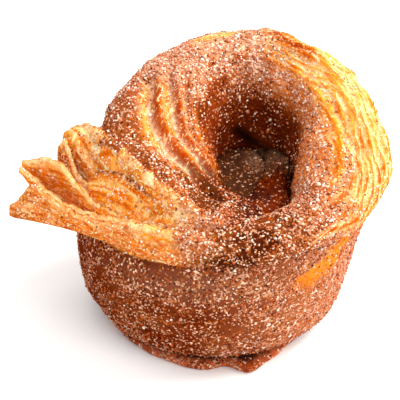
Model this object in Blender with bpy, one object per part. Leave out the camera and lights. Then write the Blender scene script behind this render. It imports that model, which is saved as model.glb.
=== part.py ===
"""Morning bun: a laminated strip coiled out of a cup-shaped body, its loose end fanned at the left.

One closed solid. Millimetres and degrees in the named sizes, metres in the model, +Z up, origin at the
middle of the flat underside. Front is -Y. Plan angles run from +X through +Y.
"""
import bpy
import bmesh
import numpy as np

# ------------------------------------------------------------------ cup-shaped body
# plan angle and radius of the foot that spread under the bun
FOOT = [(0, 34.2), (60, 34.0), (120, 34.0), (185, 34.6), (211, 35.2), (222, 35.4), (234, 36.2), (250, 37.2),
        (264, 38.8), (275, 36.9), (285, 41.0), (294, 38.4), (304, 35.9), (315, 34.1), (335, 33.9)]
FOOT_HEIGHT = 2.4
CREASE_RADIUS = 35.4          # foot of the body's wall, over the crease
CREASE_DEPTH = 1.5            # crease between foot and body
# height and radius of the body above the crease
BODY = [(5.0, 37.6), (8.5, 39.7), (13.0, 41.1), (19.0, 42.7)]

# ------------------------------------------------------------------ coil
COIL_X, COIL_Y = 8.0, 2.0     # axis of the coil, off the axis of the body
STRIP_START = 185.0           # plan angle where the strip begins, behind its fanned end
STRIP_END = 800.0             # its other end, lying in the hollow
FLOOR_RISE = 1.0              # middle of the hollow floor over the lowest of the last inner edge

# plan angle: radius and height of the edge between body and coil, share of the coil's offset
BROW = [(0, 43.1, 44.9, 0.65), (25, 43.0, 47.5, 0.80), (60, 43.2, 52.0, 0.85), (100, 43.6, 53.5, 0.80),
        (140, 42.3, 53.0, 0.78), (170, 41.5, 51.0, 0.72), (187, 43.8, 48.0, 0.50), (200, 45.3, 44.0, 0.40),
        (215, 45.3, 41.0, 0.35), (235, 44.6, 40.8, 0.35), (252, 44.2, 42.0, 0.35), (270, 44.0, 42.3, 0.35),
        (300, 44.0, 43.2, 0.37), (320, 44.2, 42.6, 0.42), (337, 43.0, 43.6, 0.52)]
# angle along the strip: radius and height of its inner edge
INNER = [(185, 43.0, 48.0), (196, 40.0, 53.0), (206, 37.0, 55.4), (218, 36.0, 55.0), (227, 35.4, 53.4),
         (236, 34.6, 51.0), (244, 33.6, 48.6), (254, 31.8, 46.0), (266, 29.2, 43.0), (285, 25.5, 39.5),
         (315, 20.5, 37.0), (360, 15.5, 36.5), (405, 21.5, 38.0), (440, 22.5, 40.5), (470, 17.0, 42.0),
         (500, 10.0, 41.5), (540, 6.0, 40.5), (585, 5.5, 39.0), (630, 5.0, 38.5), (675, 4.0, 39.0),
         (720, 4.5, 40.0), (745, 6.5, 41.0), (770, 12.0, 41.0), (790, 19.5, 40.5), (800, 22.5, 40.5)]
# angle along the strip: crest height, crest place from outer to inner edge, bulge outwards,
# fullness of the outer slope, fullness of the inner slope
CREST = [(185, 48.0, 0.50, 0.0, 0.5, 0.5), (196, 53.4, 0.85, 0.0, 0.3, 0.8),
         (206, 56.0, 0.90, 0.0, 0.0, 1.0), (227, 54.0, 0.90, 0.0, 0.0, 1.0),
         (244, 50.2, 0.85, 0.4, 0.1, 1.0), (254, 49.6, 0.65, 1.0, 0.3, 1.0),
         (266, 49.9, 0.52, 1.6, 0.6, 1.0), (285, 50.0, 0.50, 2.0, 0.8, 1.0),
         (315, 52.0, 0.45, 2.2, 1.0, 1.0), (340, 55.5, 0.45, 3.0, 1.0, 1.0),
         (360, 59.5, 0.45, 3.6, 1.0, 1.0), (405, 71.6, 0.47, 2.6, 1.0, 1.0),
         (425, 74.0, 0.47, 3.2, 1.0, 1.0), (450, 74.4, 0.45, 3.2, 1.0, 1.0),
         (472, 73.4, 0.41, 2.6, 1.0, 0.95), (495, 71.4, 0.36, 2.0, 1.0, 0.90),
         (540, 64.5, 0.28, 1.0, 1.0, 0.75), (566, 60.5, 0.22, 0.0, 1.0, 0.65),
         (578, 58.0, 0.22, -0.6, 1.0, 0.60), (596, 53.0, 0.22, -0.8, 1.0, 0.50),
         (613, 48.3, 0.22, -0.8, 1.0, 0.45), (630, 45.4, 0.25, -0.8, 1.0, 0.5),
         (675, 42.0, 0.35, -0.8, 1.0, 0.6), (720, 42.4, 0.45, -0.8, 1.0, 0.8),
         (760, 43.4, 0.50, -0.8, 1.0, 0.8), (790, 42.4, 0.50, -0.3, 1.0, 0.8),
         (800, 41.0, 0.50, 0.0, 1.0, 0.8)]

# ------------------------------------------------------------------ relief
# bands of layers: first and last angle, nearest and farthest from the outer edge, pitch, depth
LAYERS = [(318, 455, 4.0, 24.0, 5.4, 0.75),
          (400, 520, 4.0, 19.0, 5.0, 0.60)]
# ridges and grooves on the inner side: half width, height, and (angle, distance from the inner edge)
RIDGES = [(2.6, 2.4, [(500, 42.6), (520, 38.4), (545, 31.8), (570, 26.1), (590, 20.5), (614, 17.0)]),
          (2.3, 2.0, [(486, 40.0), (508, 34.1), (521, 30.2), (549, 21.8), (572, 16.5), (594, 13.0)]),
          (2.6, -0.9, [(480, 22.0), (540, 15.0), (565, 12.5), (596, 9.0)])]
# torn edges that stand off the outer side: half width, height, and (angle, distance from the outer edge)
FLAKES = [(2.4, 1.5, [(318, 9.0), (345, 7.5), (378, 7.0)]),
          (2.3, 1.2, [(356, 15.0), (385, 13.0), (416, 13.0)]),
          (2.4, 1.4, [(392, 8.5), (430, 9.0), (474, 8.0)])]
LUMP = 0.6                    # slow unevenness of the crust

# ------------------------------------------------------------------ fanned end of the strip
FAN_X, FAN_Y = 4.0, 1.0       # the layers follow circles about this axis, then run straight
# radius, angle where it leaves the circle, thickness at root and tip, bow of the straight part, and
# (length past the leaving point, lower edge, upper edge) from root to tip
FAN = [(44.0, 238.0, 3.0, 1.7, 0.0,
        [(-27, 41, 41.5), (-18, 41, 46.4), (-8, 41, 47.2), (10, 41, 46.8), (24, 40.8, 45.6),
         (35, 39.6, 47.8), (41, 38.6, 50.8), (46, 37.7, 46.0), (51, 36.8, 40.2)]),
       (42.9, 235.0, 2.6, 1.5, 0.3,
        [(-29, 41, 42.0), (-20, 41, 48.6), (-12, 41, 49.4), (5, 41, 48.4), (16, 41, 46.2),
         (24, 41, 45.3), (34, 42.5, 46.6), (39, 45, 49.0), (47, 51.0, 52.6)]),
       (41.6, 233.0, 2.6, 1.2, 2.2,
        [(-27, 41, 42.5), (-18, 41, 48.6), (-10, 41, 49.0), (8, 41, 46.8), (16, 41, 46.0),
         (23, 41, 48.2), (29, 41.2, 52.0), (35, 42.6, 56.2), (41, 45.6, 55.4), (47, 51.0, 52.9)]),
       (40.0, 223.0, 3.2, 1.6, 0.5,
        [(-34, 42, 43.0), (-24, 42, 48.8), (-12, 42, 48.6), (4, 41, 45.6), (14, 41, 45.4),
         (20, 41.5, 48.3), (25.5, 42.5, 51.0), (28.5, 44.5, 56.8), (30.5, 47.5, 60.2), (33, 51.5, 57.6)]),
       (37.7, 217.5, 3.6, 3.4, 0.0,
        [(-38, 42, 43.0), (-27, 42, 49.6), (-10, 42, 49.8), (-1.5, 42, 50.2), (9, 42, 51.2),
         (16.5, 42, 52.6), (24, 43.5, 55.8), (29, 46, 58.6), (31.3, 49, 59.4), (33.5, 52.5, 58.0)]),
       (35.6, 216.5, 3.4, 3.4, 0.0,
        [(-42, 42, 43.0), (-31, 42, 50.6), (-14.5, 42, 51.6), (-5, 42, 52.4), (5, 42, 54.0),
         (16, 43, 56.4), (24.5, 45, 58.2), (30.6, 48, 59.2), (34.2, 51.5, 57.6)]),
       (33.6, 215.5, 3.2, 3.2, 0.0,
        [(-44, 42, 45.0), (-27, 42, 50.9), (-20, 42, 54.6), (-15.5, 42, 56.3), (-9, 42, 58.0),
         (-2, 42, 59.8), (7, 43, 60.6), (17, 44, 61.2), (24.7, 46, 60.9), (29.7, 48, 59.4),
         (34, 51.5, 57.6)])]
FAN_SLANT = 0.5               # outer corner of a layer's edge under its middle, share of half thickness
FAN_BURIED = 1.6              # how far the root of each layer sinks into the strip
FAN_STATIONS = 20
FAN_LEVELS = 4

# ------------------------------------------------------------------ mesh density
STATIONS = 80                 # round one turn
ACROSS = 28                   # across the strip
OUTER_SHARE = 10 / 28         # of them, from the outer edge to the crest
WALL_ROWS = 9                 # above the crease
FLOOR_ROWS = 3
UNDER_ROWS = 3

CRUST_COLOUR = (0.50, 0.235, 0.095)
CRUST_ROUGHNESS = 0.75


def keyed(keys, at, period=None):
    """Smooth curve through rows of (angle, values...), read at the angles given."""
    k = np.array(keys, float)
    if period:
        head, tail = k[-2:].copy(), k[:2].copy()
        head[:, 0] -= period
        tail[:, 0] += period
        k = np.vstack([head, k, tail])
    a, v = k[:, 0], k[:, 1:]
    at = np.asarray(at, float)
    chord = (v[1:] - v[:-1]) / (a[1:] - a[:-1])[:, None]
    slope = np.zeros_like(v)
    slope[1:-1] = (chord[1:] + chord[:-1]) / 2
    flat = chord[1:] * chord[:-1] <= 0
    slope[1:-1][flat] *= 0.3
    i = np.clip(np.searchsorted(a, at, side="right") - 1, 0, len(a) - 2)
    h = (a[i + 1] - a[i])[:, None]
    t = np.clip((at - a[i])[:, None] / h, 0, 1)
    return ((2 * t**3 - 3 * t**2 + 1) * v[i] + (t**3 - 2 * t**2 + t) * h * slope[i]
            + (3 * t**2 - 2 * t**3) * v[i + 1] + (t**3 - t**2) * h * slope[i + 1])


def step(lo, hi, x):
    t = np.clip((np.asarray(x, float) - lo) / (hi - lo), 0, 1)
    return t * t * (3 - 2 * t)


def mix(a, b, t):
    return a + (b - a) * t


def spline(ctrl, places, knot=None, split=None):
    """Clamped cubic B-spline through stations x points x (radius, height, share), even along its length.

    With a knot, the places up to split are even up to that control point and the rest even beyond it."""
    c = np.concatenate([ctrl[:, :1]] * 2 + [ctrl] + [ctrl[:, -1:]] * 2, axis=1)
    spans = c.shape[1] - 3
    t = np.linspace(0, spans, 16 * spans + 1)
    i = np.minimum(t.astype(int), spans - 1)
    u = (t - i)[None, :, None]
    fine = ((1 - u)**3 * c[:, i] + (3 * u**3 - 6 * u**2 + 4) * c[:, i + 1]
            + (3 * u + 3 * u**2 + 1 - 3 * u**3) * c[:, i + 2] + u**3 * c[:, i + 3]) / 6
    run = np.cumsum(np.hypot(np.diff(fine[..., 0]), np.diff(fine[..., 1])) + 1e-9, axis=1)
    run = np.concatenate([np.zeros((len(run), 1)), run], axis=1)
    if knot is None:
        run = run / run[:, -1:]
    else:
        turn = run[:, 16 * (knot + 1)][:, None]
        beyond = (run - turn) / (run[:, -1:] - turn)
        run = np.where(run < turn, split * run / turn, split + (1 - split) * beyond)
    return np.stack([np.stack([np.interp(places, r, row[:, k]) for k in range(3)], -1)
                     for r, row in zip(run, fine)])


def edges(a):
    """Outer and inner edge of the strip as (radius, height, share of offset) at angles along it."""
    brow = keyed(BROW, np.mod(a, 360), 360)
    here = np.column_stack([keyed(INNER, a), np.ones(len(a))])
    before = np.column_stack([keyed(INNER, a - 360), np.ones(len(a))])
    here[:, 2] = mix(0.6, 1.0, step(185, 260, a))
    before[:, 2] = mix(0.6, 1.0, step(185, 260, a - 360))
    first = (a < STRIP_START + 360)[:, None]
    return np.where(first, brow, before), here


def strip_section(a, places):
    """Points across the strip at angles along it: stations x points x (radius, height, share)."""
    out, inn = edges(a)
    crest, where, bulge, outer, inner = keyed(CREST, a).T
    ro, zo, so = out.T
    ri, zi, si = inn.T
    width = np.hypot(ro - ri, zo - zi)
    full = step(0, 9, width)
    low = np.maximum(zo, zi)
    zc = low + np.maximum(crest - low, 0) * full
    bulge = bulge * full
    rc = mix(ro, ri, where)
    top = zc + 0.8 * full * outer
    rows = [(ro, zo, so),
            (ro + bulge, mix(zo, zc, mix(0.10, 0.16, outer)), mix(so, si, 0.3)),
            (ro + bulge * 1.3, mix(zo, zc, mix(0.23, 0.48, outer)), mix(so, si, 0.65)),
            (mix(ro + bulge, rc, 0.22), mix(zo, zc, mix(0.36, 0.84, outer)), mix(so, si, 0.9)),
            (mix(ro + bulge, rc, 0.60), mix(zo, zc, mix(0.64, 1.0, outer)), si),
            (rc, top, si),
            (mix(rc, ri, 0.40), mix(zi, zc, mix(0.74, 0.97, inner)), si),
            (mix(rc, ri, 0.74), mix(zi, zc, mix(0.42, 0.80, inner)), si),
            (mix(rc, ri, 0.93), mix(zi, zc, mix(0.16, 0.48, inner)), si),
            (mix(rc, ri, 1.00), mix(zi, zc, mix(0.04, 0.16, inner)), si),
            (ri, zi, si)]
    ctrl = np.stack([np.stack([v + 0 * ro for v in row], -1) for row in rows], 1)
    return spline(ctrl, places, 5, OUTER_SHARE)


def wall_section(a, places):
    """Points up the body from the crease to the brow."""
    rb, zb, sb = keyed(BROW, np.mod(a, 360), 360).T
    n = 0 * rb
    top_r = BODY[-1][1]
    rows = [(CREASE_RADIUS + n, FOOT_HEIGHT + 0.5 + n, n)]
    rows += [(r + n, z + n, n) for z, r in BODY]
    rows += [(mix(top_r, rb, 0.45) + 1.1, mix(BODY[-1][0], zb, 0.40), sb * 0.25),
             (mix(top_r, rb, 0.85) + 0.9, mix(BODY[-1][0], zb, 0.75), sb * 0.62),
             (rb, mix(BODY[-1][0], zb, 0.93), sb * 0.92),
             (rb, zb, sb)]
    ctrl = np.stack([np.stack(row, -1) for row in rows], 1)
    return spline(ctrl, places)


def foot_section(a):
    """Underside edge, two rings of the foot and its top, below the crease."""
    r = keyed(FOOT, np.mod(a, 360), 360)[:, 0]
    n = 0 * r
    rows = [(r - 0.9, n, n), (r, 0.7 + n, n), (r - 0.1, FOOT_HEIGHT * 0.7 + n, n),
            (mix(FOOT[0][1], r, 0.5) - CREASE_DEPTH, FOOT_HEIGHT + n, n)]
    return np.stack([np.stack(row, -1) for row in rows], 1)


def place(section, a):
    """(radius, height, share) at plan angles to x, y, z."""
    c, s = np.cos(np.radians(a))[:, None], np.sin(np.radians(a))[:, None]
    r, z, share = section[..., 0], section[..., 1], section[..., 2]
    return np.stack([COIL_X * share + r * c, COIL_Y * share + r * s, z], -1)


def relief(a, places, from_out, from_in):
    """Height of layers, ridges, flakes and lumps over the strip, stations x points."""
    a, u = a[:, None], places[None, :]
    t = np.radians(a)
    h = LUMP * (0.5 * np.sin(t * 5 + u * 9) + 0.35 * np.sin(t * 11 - u * 17 + 1.3)
                + 0.25 * np.sin(t * 19 + u * 31 + 4.0)) * mix(0.3, 1.0, step(240, 290, a))
    for a0, a1, d0, d1, pitch, depth in LAYERS:
        zone = step(a0, a0 + 22, a) * step(a1, a1 - 22, a)
        zone = zone * step(d0, d0 + 3, from_out) * step(d1, d1 - 4, from_out)
        sway = 0.25 * np.sin(t * 3.1 + depth * 9) + (a - a0) / 260
        h = h + depth * zone * np.cos(2 * np.pi * (from_out / pitch + sway))
    for lines, distance in ((RIDGES, from_in), (FLAKES, from_out)):
        for half, height, keys in lines:
            ends = step(keys[0][0], keys[0][0] + 20, a) * step(keys[-1][0], keys[-1][0] - 22, a)
            middle = keyed(keys, a[:, 0]) + 0.4 * np.sin(t * 9 + half * 20)
            h = h + height * ends * np.exp(-((distance - middle) / half)**2)
    return h


def raise_by(points, height):
    """Move a grid of points along its own normals."""
    along = np.gradient(points, axis=0)
    across = np.gradient(points, axis=1)
    n = np.cross(along, across)
    size = np.linalg.norm(n, axis=-1, keepdims=True)
    n = np.where(size > 1e-9, n / np.maximum(size, 1e-9), 0)
    return points - n * height[..., None]


def coil_mesh(stations, columns, wall_rows, floor_rows, under_rows):
    """Body and coil as one closed skin: points and faces."""
    pitch = 360.0 / stations
    total = int(round((STRIP_END - STRIP_START) / pitch))
    a = STRIP_START + pitch * np.arange(total + 1)
    places = np.linspace(0, 1, columns + 1)
    grid = place(strip_section(a, places), a)
    fade = np.minimum(step(0, 3, np.arange(total + 1)), step(total, total - 6, np.arange(total + 1)))
    width = np.linalg.norm(grid[:, 0] - grid[:, -1], axis=-1)
    run = np.cumsum(np.linalg.norm(np.diff(grid, axis=1), axis=-1), axis=1)
    run = np.concatenate([0 * run[:, :1], run], axis=1)
    back = run[:, -1:] - run
    high = relief(a, places, run, back) * (fade * step(3, 12, width))[:, None]
    high *= step(0.4, 4.0, np.minimum(run, back))
    grid = raise_by(grid, high)

    points, faces = [], []

    def add(p):
        points.append(p)
        return len(points) - 1

    # the inner edge of each turn is the outer edge of the next
    idx = np.zeros((total + 1, columns + 1), int)
    for i in range(total + 1):
        for j in range(columns + 1):
            if j == 0 and i >= stations:
                idx[i, j] = idx[i - stations, columns]
            elif i == 0 and j:
                idx[i, j] = idx[0, 0]
            elif i < total:
                idx[i, j] = add(grid[i, j])
    idx[total, :] = idx[total - stations, columns]

    def skin(rows, closed):
        n = len(rows[0])
        for low, high_row in zip(rows[:-1], rows[1:]):
            for i in range(n if closed else n - 1):
                k = (i + 1) % n
                loop = []
                for v in (low[i], low[k], high_row[k], high_row[i]):
                    if v not in loop:
                        loop.append(v)
                if len(loop) > 2:
                    faces.append(loop)

    skin([list(idx[:, j]) for j in range(columns + 1)], closed=False)

    last = [idx[i, columns] for i in range(total - stations, total)]
    rim = np.array([points[i] for i in last])
    middle = np.array([COIL_X, COIL_Y, rim[:, 2].min() + FLOOR_RISE])
    rows = [last]
    for k in range(1, floor_rows):
        t = k / floor_rows
        ring = rim + (middle - rim) * t
        ring[:, 2] = mix(rim[:, 2], middle[2], np.sin(t * np.pi / 2))
        rows.append([add(p) for p in ring])
    pole = add(middle)
    rows.append([pole] * stations)
    skin(rows, closed=True)

    phi = a[:stations]
    wall = place(wall_section(phi, np.linspace(0, 1, wall_rows + 1)), phi)
    swell = np.radians(phi)[:, None]
    up = np.linspace(0, 1, wall_rows + 1)[None, :]
    uneven = LUMP * (0.6 * np.sin(3 * swell + 5 * up) + 0.4 * np.sin(7 * swell - 8 * up + 2))
    wall = raise_by(wall, uneven * step(0, 0.15, up) * step(1, 0.9, up))
    foot = place(foot_section(phi), phi)
    body = [[add(p) for p in ring.transpose(1, 0, 2)[k]] for ring in (foot, wall[:, :-1])
            for k in range(ring.shape[1])] + [list(idx[:stations, 0])]
    under = []
    for k in range(under_rows):
        ring = foot[:, 0] * (k / under_rows)
        under.append([add(ring[0])] * stations if k == 0 else [add(p) for p in ring])
    skin(under + body, closed=True)
    return np.array(points), faces


def fan_sheet(number, stations, levels):
    """One layer of the fanned end as a closed blade: points and faces."""
    radius, leave, root, tip, bow, keys = FAN[number]
    s = np.linspace(keys[0][0], keys[-1][0], stations)
    low, high = keyed(keys, s).T
    turn = np.radians(leave) - np.minimum(s, 0) / radius
    run = np.maximum(s, 0)
    far = np.clip(run / keys[-1][0], 0, 1)
    out = np.stack([np.cos(turn), np.sin(turn)], -1)
    ahead = np.array([np.sin(np.radians(leave)), -np.cos(np.radians(leave))])
    path = np.array([FAN_X, FAN_Y]) + radius * out + run[:, None] * ahead
    buried = step(keys[0][0] + 20, keys[0][0], s)
    path = path - out * (bow * np.sin(np.pi * far) + FAN_BURIED * buried)[:, None]
    thick = mix(root, tip, far) * mix(0.45, 1.0, step(1.0, 0.93, far)) * mix(1.0, 0.3, buried) / 2
    wave = 0.28 * np.sin(s * 0.9 + number * 2.1) + 0.18 * np.sin(s * 2.3 + number)
    high = high + wave
    up = np.linspace(0, 1, levels)
    rows = []
    for side, order in ((1, up), (-1, up[::-1])):
        for t in order:
            narrow = mix(1.0, 0.6, step(0.6, 1.0, t))
            lean = -0.05 * (mix(low, high, t) - low)
            at = path + out * (side * thick * narrow + lean)[:, None]
            slant = FAN_SLANT * side * thick * step(0.6, 1.0, t)
            rows.append(np.column_stack([at, mix(low, high, t) - slant]))
    ring = len(rows)
    points = np.stack(rows, 1).reshape(-1, 3)
    faces = []
    for i in range(stations - 1):
        for j in range(ring):
            k = (j + 1) % ring
            faces.append([i * ring + j, i * ring + k, (i + 1) * ring + k, (i + 1) * ring + j])
    for i, flip in ((0, 1), (stations - 1, -1)):
        for j in range(levels - 1):
            loop = [i * ring + j, i * ring + ring - 1 - j, i * ring + ring - 2 - j, i * ring + j + 1]
            faces.append(loop[::flip])
    return points, faces


def make_object(name, points, faces):
    """Mesh object in metres."""
    mesh = bpy.data.meshes.new(name)
    mesh.from_pydata([tuple(p * 0.001) for p in points], [], faces)
    mesh.update()
    obj = bpy.data.objects.new(name, mesh)
    bpy.context.scene.collection.objects.link(obj)
    return obj


def keep_skin(obj):
    """Fill hollows sealed in by the union and drop loose scrap: only the largest closed skin stays."""
    bm = bmesh.new()
    bm.from_mesh(obj.data)
    left, shells = set(bm.faces), []
    while left:
        front = [left.pop()]
        shell = list(front)
        while front:
            near = [f for e in front.pop().edges for f in e.link_faces if f in left]
            for f in near:
                if f in left:
                    left.discard(f)
                    shell.append(f)
                    front.append(f)
        shells.append(shell)
    shells.sort(key=len)
    for shell in shells[:-1]:
        bmesh.ops.delete(bm, geom=shell, context="FACES")
    bm.to_mesh(obj.data)
    bm.free()


def triangles_out(obj):
    """Split faces into triangles and turn them to face outwards."""
    bm = bmesh.new()
    bm.from_mesh(obj.data)
    bmesh.ops.triangulate(bm, faces=bm.faces)
    if bm.calc_volume(signed=True) < 0:
        bmesh.ops.reverse_faces(bm, faces=bm.faces)
    bm.to_mesh(obj.data)
    bm.free()


def join_solids(target, others, solver):
    """One union of a collection into the target, applied; the helpers are removed."""
    group = bpy.data.collections.new("joined")
    bpy.context.scene.collection.children.link(group)
    for obj in others:
        bpy.context.scene.collection.objects.unlink(obj)
        group.objects.link(obj)
    union = target.modifiers.new("union", "BOOLEAN")
    union.operation = "UNION"
    union.operand_type = "COLLECTION"
    union.collection = group
    union.solver = solver
    bpy.context.view_layer.update()
    joined = bpy.data.meshes.new_from_object(target.evaluated_get(bpy.context.evaluated_depsgraph_get()))
    target.modifiers.clear()
    old = target.data
    target.data = joined
    bpy.data.meshes.remove(old)
    for obj in others:
        bpy.data.objects.remove(obj, do_unlink=True)
    bpy.data.collections.remove(group)


def crust_material():
    mat = bpy.data.materials.new("crust")
    mat.use_nodes = True
    bsdf = mat.node_tree.nodes["Principled BSDF"]
    bsdf.inputs["Base Color"].default_value = (*CRUST_COLOUR, 1.0)
    bsdf.inputs["Roughness"].default_value = CRUST_ROUGHNESS
    bsdf.inputs["Metallic"].default_value = 0.0
    mat.diffuse_color = (*CRUST_COLOUR, 1.0)
    return mat


def main():
    for obj in list(bpy.data.objects):
        bpy.data.objects.remove(obj, do_unlink=True)
    bun = make_object("bun", *coil_mesh(STATIONS, ACROSS, WALL_ROWS, FLOOR_ROWS, UNDER_ROWS))
    sheets = [make_object("layer%d" % k, *fan_sheet(k, FAN_STATIONS, FAN_LEVELS)) for k in range(len(FAN))]
    for obj in [bun] + sheets:
        triangles_out(obj)
    join_solids(bun, sheets, "EXACT")
    keep_skin(bun)
    triangles_out(bun)
    bun.data.materials.clear()
    bun.data.materials.append(crust_material())
    bun.data.name = "bun"


main()
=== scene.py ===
"""Looks of the morning bun: fine flaky crust, its colours, and sugar grains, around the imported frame.

Millimetres and degrees in the named sizes, metres in the meshes. Front is -Y. The strip of dough is followed
by its angle along the coil, from 185 behind the fanned end to 800 in the hollow, and by the distance in mm
from its outer or its inner edge.
"""

import bmesh
import bpy
import numpy as np
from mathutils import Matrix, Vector
from mathutils.kdtree import KDTree


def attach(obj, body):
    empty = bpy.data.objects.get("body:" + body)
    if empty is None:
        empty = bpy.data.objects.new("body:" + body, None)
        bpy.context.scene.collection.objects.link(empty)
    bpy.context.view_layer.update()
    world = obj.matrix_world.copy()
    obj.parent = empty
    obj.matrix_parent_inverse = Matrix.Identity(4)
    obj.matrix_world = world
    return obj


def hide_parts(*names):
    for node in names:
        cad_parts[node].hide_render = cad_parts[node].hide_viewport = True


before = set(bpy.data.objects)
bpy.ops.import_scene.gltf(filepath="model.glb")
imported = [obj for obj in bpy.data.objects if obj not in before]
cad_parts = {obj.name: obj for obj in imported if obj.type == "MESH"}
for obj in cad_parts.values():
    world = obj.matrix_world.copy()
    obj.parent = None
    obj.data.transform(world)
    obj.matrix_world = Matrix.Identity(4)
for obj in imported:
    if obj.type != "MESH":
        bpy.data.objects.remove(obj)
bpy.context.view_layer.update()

MM = 0.001

# ------------------------------------------------------------------ cup-shaped body
# plan angle and radius of the foot that spread under the bun
FOOT = [(0, 34.2), (60, 34.0), (120, 34.0), (185, 34.6), (211, 35.2), (222, 35.4), (234, 36.2), (250, 37.2),
        (264, 38.8), (275, 36.9), (285, 41.0), (294, 38.4), (304, 35.9), (315, 34.1), (335, 33.9)]
FOOT_HEIGHT = 2.4
CREASE_RADIUS = 35.4
CREASE_DEPTH = 1.5
BODY = [(5.0, 37.6), (8.5, 39.7), (13.0, 41.1), (19.0, 42.7)]

# ------------------------------------------------------------------ coil
COIL_X, COIL_Y = 8.0, 2.0
STRIP_START = 185.0
STRIP_END = 800.0
FLOOR_RISE = 1.0

# plan angle: radius and height of the edge between body and coil, share of the coil's offset
BROW = [(0, 43.1, 44.9, 0.65), (25, 43.0, 47.5, 0.80), (60, 43.2, 52.0, 0.85), (100, 43.6, 53.5, 0.80),
        (140, 42.3, 53.0, 0.78), (170, 41.5, 51.0, 0.72), (187, 43.8, 48.0, 0.50), (200, 45.3, 44.0, 0.40),
        (215, 45.3, 41.0, 0.35), (235, 44.6, 40.8, 0.35), (252, 44.2, 42.0, 0.35), (270, 44.0, 42.3, 0.35),
        (300, 44.0, 43.2, 0.37), (320, 44.2, 42.6, 0.42), (337, 43.0, 43.6, 0.52)]
# angle along the strip: radius and height of its inner edge
INNER = [(185, 43.0, 48.0), (196, 40.0, 53.0), (206, 37.0, 55.4), (218, 36.0, 55.0), (227, 35.4, 53.4),
         (236, 34.6, 51.0), (244, 33.6, 48.6), (254, 31.8, 46.0), (266, 29.2, 43.0), (285, 25.5, 39.5),
         (315, 20.5, 37.0), (360, 15.5, 36.5), (405, 21.5, 38.0), (440, 22.5, 40.5), (470, 17.0, 42.0),
         (500, 10.0, 41.5), (540, 6.0, 40.5), (585, 5.5, 39.0), (630, 5.0, 38.5), (675, 4.0, 39.0),
         (720, 4.5, 40.0), (745, 6.5, 41.0), (770, 12.0, 41.0), (790, 19.5, 40.5), (800, 22.5, 40.5)]
# angle along the strip: crest height, crest place from outer to inner edge, bulge outwards,
# fullness of the outer slope, fullness of the inner slope
CREST = [(185, 48.0, 0.50, 0.0, 0.5, 0.5), (196, 53.4, 0.85, 0.0, 0.3, 0.8),
         (206, 56.0, 0.90, 0.0, 0.0, 1.0), (227, 54.0, 0.90, 0.0, 0.0, 1.0),
         (244, 50.2, 0.85, 0.4, 0.1, 1.0), (254, 49.6, 0.65, 1.0, 0.3, 1.0),
         (266, 49.9, 0.52, 1.6, 0.6, 1.0), (285, 50.0, 0.50, 2.0, 0.8, 1.0),
         (315, 52.0, 0.45, 2.2, 1.0, 1.0), (340, 55.5, 0.45, 3.0, 1.0, 1.0),
         (360, 59.5, 0.45, 3.6, 1.0, 1.0), (405, 71.6, 0.47, 2.6, 1.0, 1.0),
         (425, 74.0, 0.47, 3.2, 1.0, 1.0), (450, 74.4, 0.45, 3.2, 1.0, 1.0),
         (472, 73.4, 0.41, 2.6, 1.0, 0.95), (495, 71.4, 0.36, 2.0, 1.0, 0.90),
         (540, 64.5, 0.28, 1.0, 1.0, 0.75), (566, 60.5, 0.22, 0.0, 1.0, 0.65),
         (578, 58.0, 0.22, -0.6, 1.0, 0.60), (596, 53.0, 0.22, -0.8, 1.0, 0.50),
         (613, 48.3, 0.22, -0.8, 1.0, 0.45), (630, 45.4, 0.25, -0.8, 1.0, 0.5),
         (675, 42.0, 0.35, -0.8, 1.0, 0.6), (720, 42.4, 0.45, -0.8, 1.0, 0.8),
         (760, 43.4, 0.50, -0.8, 1.0, 0.8), (790, 42.4, 0.50, -0.3, 1.0, 0.8),
         (800, 41.0, 0.50, 0.0, 1.0, 0.8)]

# ------------------------------------------------------------------ relief of the strip
LUMP = 0.6
# long steps of torn layers: height, gentle outer side, steep inner side, groove depth, groove width, paleness
# of the outer side, [(angle, distance from the inner edge)]
STEPS = [(2.4, 3.4, 1.3, 1.0, 1.5, 0.12,
          [(500, 42.6), (520, 38.4), (545, 31.8), (570, 26.1), (590, 20.5), (614, 17.0)]),
         (2.0, 2.6, 1.2, 0.8, 1.3, 0.1,
          [(490, 39.0), (508, 34.1), (521, 30.2), (549, 21.8), (572, 16.5), (594, 13.0)]),
         (1.0, 2.0, 1.1, 0.4, 1.0, 0.1,
          [(488, 32.5), (502, 29.5), (532, 22.0), (548, 17.0), (570, 12.5)])]
# grooves between layers of the right half: depth, half width, darkness of the painted shade in them, [(angle,
# distance from inner edge)]
GROOVES = [(0.7, 1.0, 0.8,
            [(318, 23.5), (335, 26.0), (349, 28.3), (364, 29.9), (386, 30.6), (408, 31.7), (424, 33.0)]),
           (1.2, 1.7, 0.9,
            [(356, 35.0), (373, 36.7), (387, 37.2), (404, 39.4), (414, 39.6), (426, 43.6), (440, 45.5)]),
           (0.8, 1.5, 0.4,
            [(318, 31.0), (332, 33.6), (348, 37.2), (356, 39.6), (364, 40.8), (378, 41.5), (392, 43.0)]),
           (0.5, 0.8, 0.4,
            [(310, 28.0), (326, 30.3), (345, 34.4), (358, 34.6), (372, 33.8), (392, 34.2)]),
           (0.7, 0.8, 0.4,
            [(330, 38.5), (345, 42.0), (360, 45.5), (378, 47.0), (400, 47.0), (420, 49.0)]),
           (0.8, 0.5, 1.0,
            [(294, 30.5), (302, 31.4), (309, 32.8), (317, 36.0), (330, 41.0)])]
LAYER_PITCH = 2.3             # fine layers of the right half
LAYER_DEPTH = 0.45

# torn recess at the back right: (angle, distance from the inner edge)
RECESS = [(402, 38.4), (411, 38.6), (420, 38.9), (427, 39.7), (435, 42.2), (444, 44.0)]

# angles along the strip at which a place begins, is full, fades and ends
FRONT_SPAN = (236, 262, 284, 314)     # darker, less sugared front
SLOPE_SPAN = (315, 340, 415, 440)     # sugared inner slope of the right half, painted brighter and warmer as bounced light
LIP_SPAN = (474, 484, 502, 514)       # lit lip over the hollow
LEFT_SPAN = (515, 535, 580, 600)      # darker, less sugared left side

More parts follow.
